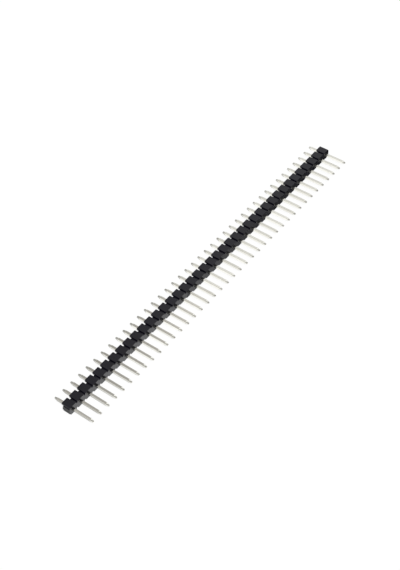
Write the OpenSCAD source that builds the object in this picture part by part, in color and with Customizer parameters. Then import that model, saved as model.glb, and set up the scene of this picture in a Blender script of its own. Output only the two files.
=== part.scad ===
// Single row pin header strip: one moulded housing and a row of square pins pressed through it.
// The strip lies on one flank of the housing. X runs along the row, the long ends of the pins
// point to -Y, and Z is up. The origin is on the surface below the middle of the strip.

/* [Row] */
// Number of pins in the strip
pin_count = 40; // [2:1:59]
// Distance from one pin to the next
pitch = 2.54; // [2.2:0.01:3.5]
// How far each end of the housing is cut short of its last break
end_cut = 0.15; // [0:0.05:0.3]

/* [Housing] */
// Length of the housing along the pins
housing_depth = 2.45; // [2.2:0.05:4]
// Width of the housing from flank to flank
housing_width = 2.25; // [2:0.05:4]

/* [Break notches in the flanks] */
// How far a notch goes into a flank
notch_depth = 0.4; // [0.2:0.05:0.7]
// Width of a notch at its mouth
notch_mouth = 0.6; // [0.4:0.05:0.9]
// Width of a notch at its floor
notch_floor = 0.35; // [0.1:0.05:0.35]

/* [Feet round the short ends] */
// Height of the feet over the floor of the channel between them
foot_height = 0.65; // [0.3:0.05:0.9]
// Thickness of a foot at the flank
foot_wall = 0.55; // [0.3:0.05:0.6]
// Depth of the gap between two feet
foot_gap_depth = 0.6; // [0.3:0.05:0.9]
// Width of the gap at the tops of the feet
foot_gap_mouth = 0.66; // [0.6:0.02:1.1]
// Width of the gap at its floor
foot_gap_floor = 0.5; // [0.3:0.02:0.6]

/* [Pins] */
// Side of the square pin
pin_side = 0.6; // [0.4:0.02:0.7]
// Length that stands out of the housing on the short side
short_end = 2.75; // [2:0.05:8]
// Length that stands out of the housing on the long side
long_end = 5.7; // [4:0.1:20]
// Length of the tapered tip
tip_length = 0.8; // [0.2:0.05:1.5]
// Side of the square flat on the tip
tip_flat = 0.34; // [0.1:0.02:0.38]

/* [Hold of the pins] */
// Space round a pin in its hole
pin_fit = 0.02; // [0.01:0.01:0.04]
// Width over the swage that grips the housing
swage_width = 0.8; // [0.8:0.02:1]
// Length of the swage along the pin
swage_length = 0.6; // [0.2:0.05:0.7]

/* [Hidden] */
row_end = pin_count * pitch / 2;
housing_end = row_end - end_cut;
pin_length = short_end + housing_depth + long_end;
pin_height = housing_width / 2;
housing_front = long_end - pin_length / 2;
housing_back = housing_front + housing_depth;
channel_floor = housing_back - foot_height;
channel_width = housing_width - 2 * foot_wall;
swage_middle = (housing_front + channel_floor) / 2;
swage_ramp = (swage_width - pin_side) / 2;
// Run of a cut past the face that it opens
past = 1;

long_tip_edge = [[tip_flat / 2, -pin_length / 2], [pin_side / 2, tip_length - pin_length / 2]];
short_tip_edge = [[pin_side / 2, pin_length / 2 - tip_length], [tip_flat / 2, pin_length / 2]];
swage_edge = [
    [pin_side / 2, swage_middle - swage_length / 2 - swage_ramp],
    [swage_width / 2, swage_middle - swage_length / 2],
    [swage_width / 2, swage_middle + swage_length / 2],
    [pin_side / 2, swage_middle + swage_length / 2 + swage_ramp]
];

function pin_x(i) = (i + 0.5) * pitch - row_end;
function break_x(i) = min(max(i * pitch - row_end, -housing_end), housing_end);
function pin_name(i) = str("pin_", i < 9 ? "0" : "", i + 1);

// A notch as a flat outline: its mouth lies on the X axis and it runs down from there
module notch(depth, mouth, floor) {
    slope = (mouth - floor) / 2 / depth;
    wide = mouth / 2 + slope * past;
    polygon([[-wide, past], [-floor / 2, -depth], [floor / 2, -depth], [wide, past]]);
}

// The row as the pins go through it, with notches in both flanks where it breaks
module pin_view() {
    difference() {
        square([2 * housing_end, housing_width], center = true);
        for (i = [0 : pin_count], turn = [0, 180])
            rotate(turn)
                translate([break_x(i), housing_width / 2])
                    notch(notch_depth, notch_mouth, notch_floor);
    }
}

// The row as seen on its flank, with the gaps between the feet
module flank_view() {
    difference() {
        translate([-housing_end, housing_front])
            square([2 * housing_end, housing_depth]);
        for (i = [0 : pin_count])
            translate([break_x(i), housing_back])
                notch(foot_gap_depth, foot_gap_mouth, foot_gap_floor);
    }
}

module channel() {
    translate([-row_end - past, channel_floor, pin_height - channel_width / 2])
        cube([2 * (row_end + past), foot_height + past, channel_width]);
}

// A flat outline from its right-hand edge, which is a list of points from the long end up
module both_sides(edge) {
    left = [for (i = [len(edge) - 1 : -1 : 0]) [-edge[i][0], edge[i][1]]];
    polygon(concat(edge, left));
}

module pin_hole() {
    hole = pin_side + 2 * pin_fit;
    translate([-hole / 2, housing_front - past, pin_height - hole / 2])
        cube([hole, housing_depth + 2 * past, hole]);
    translate([0, 0, pin_height - hole / 2])
        linear_extrude(hole)
            both_sides(swage_edge);
}

module housing() {
    color([0.09, 0.09, 0.1])
    difference() {
        intersection() {
            translate([0, housing_back, pin_height])
                rotate([90, 0, 0])
                    linear_extrude(housing_depth)
                        pin_view();
            linear_extrude(housing_width)
                flank_view();
        }
        channel();
        for (i = [0 : pin_count - 1])
            translate([pin_x(i), 0, 0])
                pin_hole();
    }
}

module pin(i) {
    color([0.78, 0.77, 0.74])
    translate([pin_x(i), 0, pin_height])
        intersection() {
            linear_extrude(pin_side, center = true)
                both_sides(concat(long_tip_edge, swage_edge, short_tip_edge));
            rotate([0, 90, 0])
                linear_extrude(swage_width, center = true)
                    both_sides(concat(long_tip_edge, short_tip_edge));
        }
}

housing();
for (i = [0 : pin_count - 1])
    pin(i);
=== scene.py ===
import math

import bmesh
import bpy
from mathutils import Matrix, Vector


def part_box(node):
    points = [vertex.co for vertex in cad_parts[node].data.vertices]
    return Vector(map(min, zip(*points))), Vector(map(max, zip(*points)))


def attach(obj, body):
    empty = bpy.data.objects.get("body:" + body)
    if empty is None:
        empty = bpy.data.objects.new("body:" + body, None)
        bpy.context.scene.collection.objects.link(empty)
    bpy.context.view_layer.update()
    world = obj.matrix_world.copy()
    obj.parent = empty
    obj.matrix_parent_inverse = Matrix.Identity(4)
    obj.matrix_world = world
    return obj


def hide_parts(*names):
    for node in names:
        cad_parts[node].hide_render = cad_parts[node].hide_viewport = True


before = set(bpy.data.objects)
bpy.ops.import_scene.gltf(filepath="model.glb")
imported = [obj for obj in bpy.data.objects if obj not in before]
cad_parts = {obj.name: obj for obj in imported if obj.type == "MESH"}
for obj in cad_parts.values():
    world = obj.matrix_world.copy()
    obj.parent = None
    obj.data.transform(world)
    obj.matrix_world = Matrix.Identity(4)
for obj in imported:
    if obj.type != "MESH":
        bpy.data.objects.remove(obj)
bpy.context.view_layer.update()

MM = 0.001
WHITE = (1, 1, 1, 1)

# How far the edges are broken, and the least turn from face to face that counts as an edge
HOUSING_EDGE = 0.025 * MM
PIN_EDGE = 0.04 * MM
EDGE_TURN = math.radians(5)

BLACK = (0.0018, 0.0014, 0.0052, 1)
STREAKED_BLACK = (0.0030, 0.0024, 0.0070, 1)
SNAPPED_BLACK = (0.032, 0.032, 0.035, 1)
BRIGHT_TIN = (0.91, 0.90, 0.83, 1)
CLOUDY_TIN = (0.79, 0.777, 0.71, 1)
CUT_METAL = (0.59, 0.555, 0.50, 1)

# Light of the studio: over the table, and from the cards below the horizon
OVERHEAD = 0.371
FRONT_CARD = 1.6
FRONT_CARD_LEFT = 0.437
GREY_CARD = 0.517
WHITE_CARD = 1.057
WARM_LIGHT = (1, 0.972, 0.957, 1)

CAMERA_RIGHT = Vector((0.600060, -0.799115, -0.036646))
CAMERA_UP = Vector((0.604989, 0.423364, 0.674353))
# From the foot of the housing, at the middle of its front
CAMERA_SPOT = Vector((-141.526, -111.485, 192.635)) * MM


class Value:
    """A socket in one finish, on which sums are written as Python."""

    def __init__(self, finish, socket):
        self.finish = finish
        self.socket = socket

    def sum(self, operation, *terms):
        return self.finish.node("Math", {"operation": operation}, dict(enumerate(terms)))

    def __add__(self, other):
        return self.sum("ADD", self, other)

    def __sub__(self, other):
        return self.sum("SUBTRACT", self, other)

    def __rsub__(self, other):
        return self.sum("SUBTRACT", other, self)

    def __mul__(self, other):
        return self.sum("MULTIPLY", self, other)

    def __abs__(self):
        return self.sum("ABSOLUTE", self)

    __radd__ = __add__
    __rmul__ = __mul__


class Finish:
    """One finish of the strip or of the table it lies on, or the light of the studio."""

    def __init__(self, name, tree=None):
        if tree is None:
            self.material = bpy.data.materials.new(name)
            self.material.use_nodes = True
            tree = self.material.node_tree
        self.tree = tree
        self.tree.nodes.clear()

    def node(self, kind, settings=None, sockets=None, out=0):
        made = self.tree.nodes.new("ShaderNode" + kind)
        for name, value in (settings or {}).items():
            setattr(made, name, value)
        for name, value in (sockets or {}).items():
            if isinstance(value, Value):
                self.tree.links.new(value.socket, made.inputs[name])
            else:
                made.inputs[name].default_value = value
        return Value(self, made.outputs[out])

    def mix(self, share, first, second):
        return self.node("Mix", {"data_type": "RGBA"}, {0: share, 6: first, 7: second}, 2)

    def mix_numbers(self, share, first, second):
        return self.node("Mix", {"data_type": "FLOAT"}, {0: share, 2: first, 3: second})

    def blend(self, share, first, second):
        return self.node("MixShader", None, {0: share, 1: first, 2: second})

    def between(self, value, low, high, first=0.0, last=1.0):
        """From first to last, smoothly, while value goes from low to high."""
        return self.node("MapRange", {"interpolation_type": "SMOOTHSTEP"},
                         {"Value": value, "From Min": low, "From Max": high, "To Min": first, "To Max": last})

    def place(self, *stretch):
        """Where a point of the piece is, in millimetres, stretched along X, Y and Z."""
        spot = self.node("TexCoord", None, None, "Object")
        return self.node("VectorMath", {"operation": "MULTIPLY"},
                         {0: spot, 1: [s / MM for s in stretch]})

    def at_ends(self, axis, end, edge):
        """1 on the two faces that end a piece along one axis, end millimetres from its middle, else 0."""
        along = self.node("SeparateXYZ", None, {"Vector": self.place(1, 1, 1)}, axis)
        return self.between(abs(along), end - edge, end - edge / 3)

    def grain(self, size, detail, stretch=(1, 1, 1)):
        """Noise whose features are about size millimetres across."""
        return self.node("TexNoise", None,
                         {"Vector": self.place(*stretch), "Scale": 1 / size, "Detail": detail})

    def relief(self, height, depth, strength):
        return self.node("Bump", None, {"Strength": strength, "Distance": depth * MM, "Height": height})

    def end(self, shader, kind="OutputMaterial"):
        last = self.tree.nodes.new("ShaderNode" + kind)
        self.tree.links.new(shader.socket, last.inputs["Surface"])


def black_moulding(row_end):
    """Glass-filled black moulding: satin, spark-eroded grain, flow streaks, ends snapped off the row."""
    f = Finish("black_moulding")
    snapped = f.at_ends("X", row_end, 0.03)
    eroded = f.grain(0.06, 4)
    streaks = f.between(f.grain(0.9, 3, (1, 0.35, 1)), 0.35, 0.7)
    moulded = f.mix(streaks, BLACK, STREAKED_BLACK)
    f.end(f.node("BsdfPrincipled", None, {
        "Base Color": f.mix(snapped * (0.4 + 0.6 * eroded), moulded, SNAPPED_BLACK),
        "Roughness": 0.23 + 0.05 * streaks + 0.05 * eroded + 0.2 * snapped,
        "IOR": 1.45,
        "Normal": f.relief(eroded, 0.006, 0.35),
    }))
    return f.material


def tin_plate(pin_end):
    """Bright tin on drawn wire: lines along each pin, a bloom that differs from pin to pin, dull cut ends."""
    f = Finish("tin_plate")
    cut = f.at_ends("Y", pin_end, 0.02)
    lines = f.grain(0.035, 2, (1, 0.03, 1))
    from_pin_to_pin = f.grain(2.3, 0, (1, 0, 0))
    bloom = f.between(0.8 * f.grain(0.5, 3) + 1.8 * from_pin_to_pin, 1.0, 1.6)
    tinned = f.mix(bloom, BRIGHT_TIN, CLOUDY_TIN)
    f.end(f.node("BsdfPrincipled", None, {
        "Base Color": f.mix(cut * (0.4 + 0.4 * lines), tinned, CUT_METAL),
        "Metallic": 1.0,
        "Roughness": 0.03 + 0.06 * bloom + 0.05 * lines + 0.45 * cut,
        "Normal": f.relief(lines, 0.002, 0.3),
    }))
    return f.material


def softened(node, name, finish, radius):
    """A piece with the shape of a CAD node, its edges broken as moulding or stamping leaves them."""
    shape = bmesh.new()
    shape.from_mesh(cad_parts[node].data)
    bmesh.ops.remove_doubles(shape, verts=shape.verts, dist=0.0001 * MM)
    bmesh.ops.dissolve_limit(shape, angle_limit=math.radians(1), verts=shape.verts, edges=shape.edges)
    mesh = bpy.data.meshes.new(name)
    shape.to_mesh(mesh)
    shape.free()
    for face in mesh.polygons:
        face.use_smooth = True
    mesh.materials.append(finish)
    piece = bpy.data.objects.new(name, mesh)
    bpy.context.scene.collection.objects.link(piece)
    edges = piece.modifiers.new("broken_edges", "BEVEL")
    edges.width, edges.segments = radius, 2
    edges.limit_method, edges.angle_limit = "ANGLE", EDGE_TURN
    flats = piece.modifiers.new("flat_faces", "WEIGHTED_NORMAL")
    flats.mode, flats.weight = "FACE_AREA", 100
    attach(piece, "root")
    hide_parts(node)


def white_table():
    """White to the camera, with a trace of the strip's shadow. Mirrors see past it to the studio's cards."""
    f = Finish("white_table")
    seen = f.node("LightPath", None, None, "Is Camera Ray")
    mirrored = f.node("LightPath", None, None, "Is Glossy Ray")
    lit = f.node("BsdfDiffuse", None, {"Color": (0.9, 0.9, 0.9, 1)})
    white = f.node("Emission", None, {"Strength": 1.02})
    f.end(f.blend(mirrored, f.blend(seen * 0.9, lit, white), f.node("BsdfTransparent")))
    return f.material


def studio():
    """Soft light from all round, with the patches and cards that the pins and the moulding mirror."""
    world = bpy.data.worlds.new("studio")
    world.use_nodes = True
    sky = Finish("studio", world.node_tree)
    toward = sky.node("TexCoord", None, None, "Generated")
    x, y, z = (sky.node("SeparateXYZ", None, {"Vector": toward}, axis) for axis in "XYZ")

    def patch(aim, radius, core, light):
        """A soft round patch around one direction, out to a radius and full in a core, both in degrees."""
        near = sky.node("VectorMath", {"operation": "DOT_PRODUCT"},
                        {0: toward, 1: Vector(aim).normalized()}, "Value")
        edge, full = (math.cos(math.radians(turn)) for turn in (radius, core))
        return sky.between(near, edge, full, 0.0, light)

    window = patch((0.69, 0.28, 0.667), 33.0, 7.3, 0.384)
    side = patch((0.55, 0.157, 0.82), 17.9, 3.4, 0.386)
    corner = patch((0.728, 0.575, 0.373), 15.4, 3.4, 0.485)
    gap = patch((0.443, 0.469, 0.764), 5.6, 1.15, 0.287)
    shade = patch((0.52, -0.42, 0.74), 21.6, 9.9, 0.22)
    above = OVERHEAD + window + side + corner - gap - shade

    # The front card ends on the right and dims on the left. The card behind is grey, and white on the left.
    front = sky.between(x, -0.33, -0.49, sky.between(x, 0.492, 0.575, FRONT_CARD, 0.0), FRONT_CARD_LEFT)
    behind = sky.between(x, -0.40, -0.446, GREY_CARD, WHITE_CARD)
    cards = sky.mix_numbers(sky.between(y, -0.15, 0.15), front, behind)

    seen = sky.node("LightPath", None, None, "Is Camera Ray")
    light = sky.mix_numbers(seen, sky.mix_numbers(sky.between(z, 0.0, -0.12), above, cards), 1.0)
    warm = sky.mix(patch((0.415, 0.46, 0.785), 8.5, 4.4, 1.0), WHITE, WARM_LIGHT)
    sky.end(sky.node("Background", None, {"Color": sky.mix(seen, warm, WHITE), "Strength": light}),
            kind="OutputWorld")
    return world


def key_lamp():
    """A broad soft lamp from behind the camera, which leaves no glint on the pins."""
    key = bpy.data.lights.new("key", "SUN")
    key.energy, key.angle = 2.5, math.radians(60)
    lamp = bpy.data.objects.new("key", key)
    lamp.rotation_euler = Vector((0.30, 0.35, -0.89)).to_track_quat("-Z", "Y").to_euler()
    bpy.context.scene.collection.objects.link(lamp)
    lamp.visible_glossy = False


def camera_over(foot):
    """The camera, aimed at the strip from above its front, at its place from the foot of the housing."""
    lens = bpy.data.cameras.new("camera")
    lens.sensor_fit, lens.sensor_height, lens.lens = "VERTICAL", 36, 70.605
    lens.clip_start = 5 * MM
    camera = bpy.data.objects.new("camera", lens)
    bpy.context.scene.collection.objects.link(camera)
    turn = Matrix((CAMERA_RIGHT, CAMERA_UP, CAMERA_RIGHT.cross(CAMERA_UP))).transposed()
    camera.matrix_world = Matrix.Translation(foot + CAMERA_SPOT) @ turn.to_4x4()
    bpy.context.scene.camera = camera


housing_low, housing_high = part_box("housing")
black = black_moulding(housing_high.x / MM)
pins = sorted(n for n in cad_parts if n.startswith("pin_"))
tin = tin_plate(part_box(pins[0])[1].y / MM)
softened("housing", "moulded_housing", black, HOUSING_EDGE)
for pin in pins:
    softened(pin, "plated_" + pin, tin, PIN_EDGE)

bpy.ops.mesh.primitive_plane_add(size=6)
table = bpy.context.object
table.name = "table"
table.data.materials.append(white_table())

bpy.context.scene.world = studio()
key_lamp()
camera_over(Vector((0, housing_low.y, 0)))
bpy.context.scene.view_settings.view_transform = "Standard"
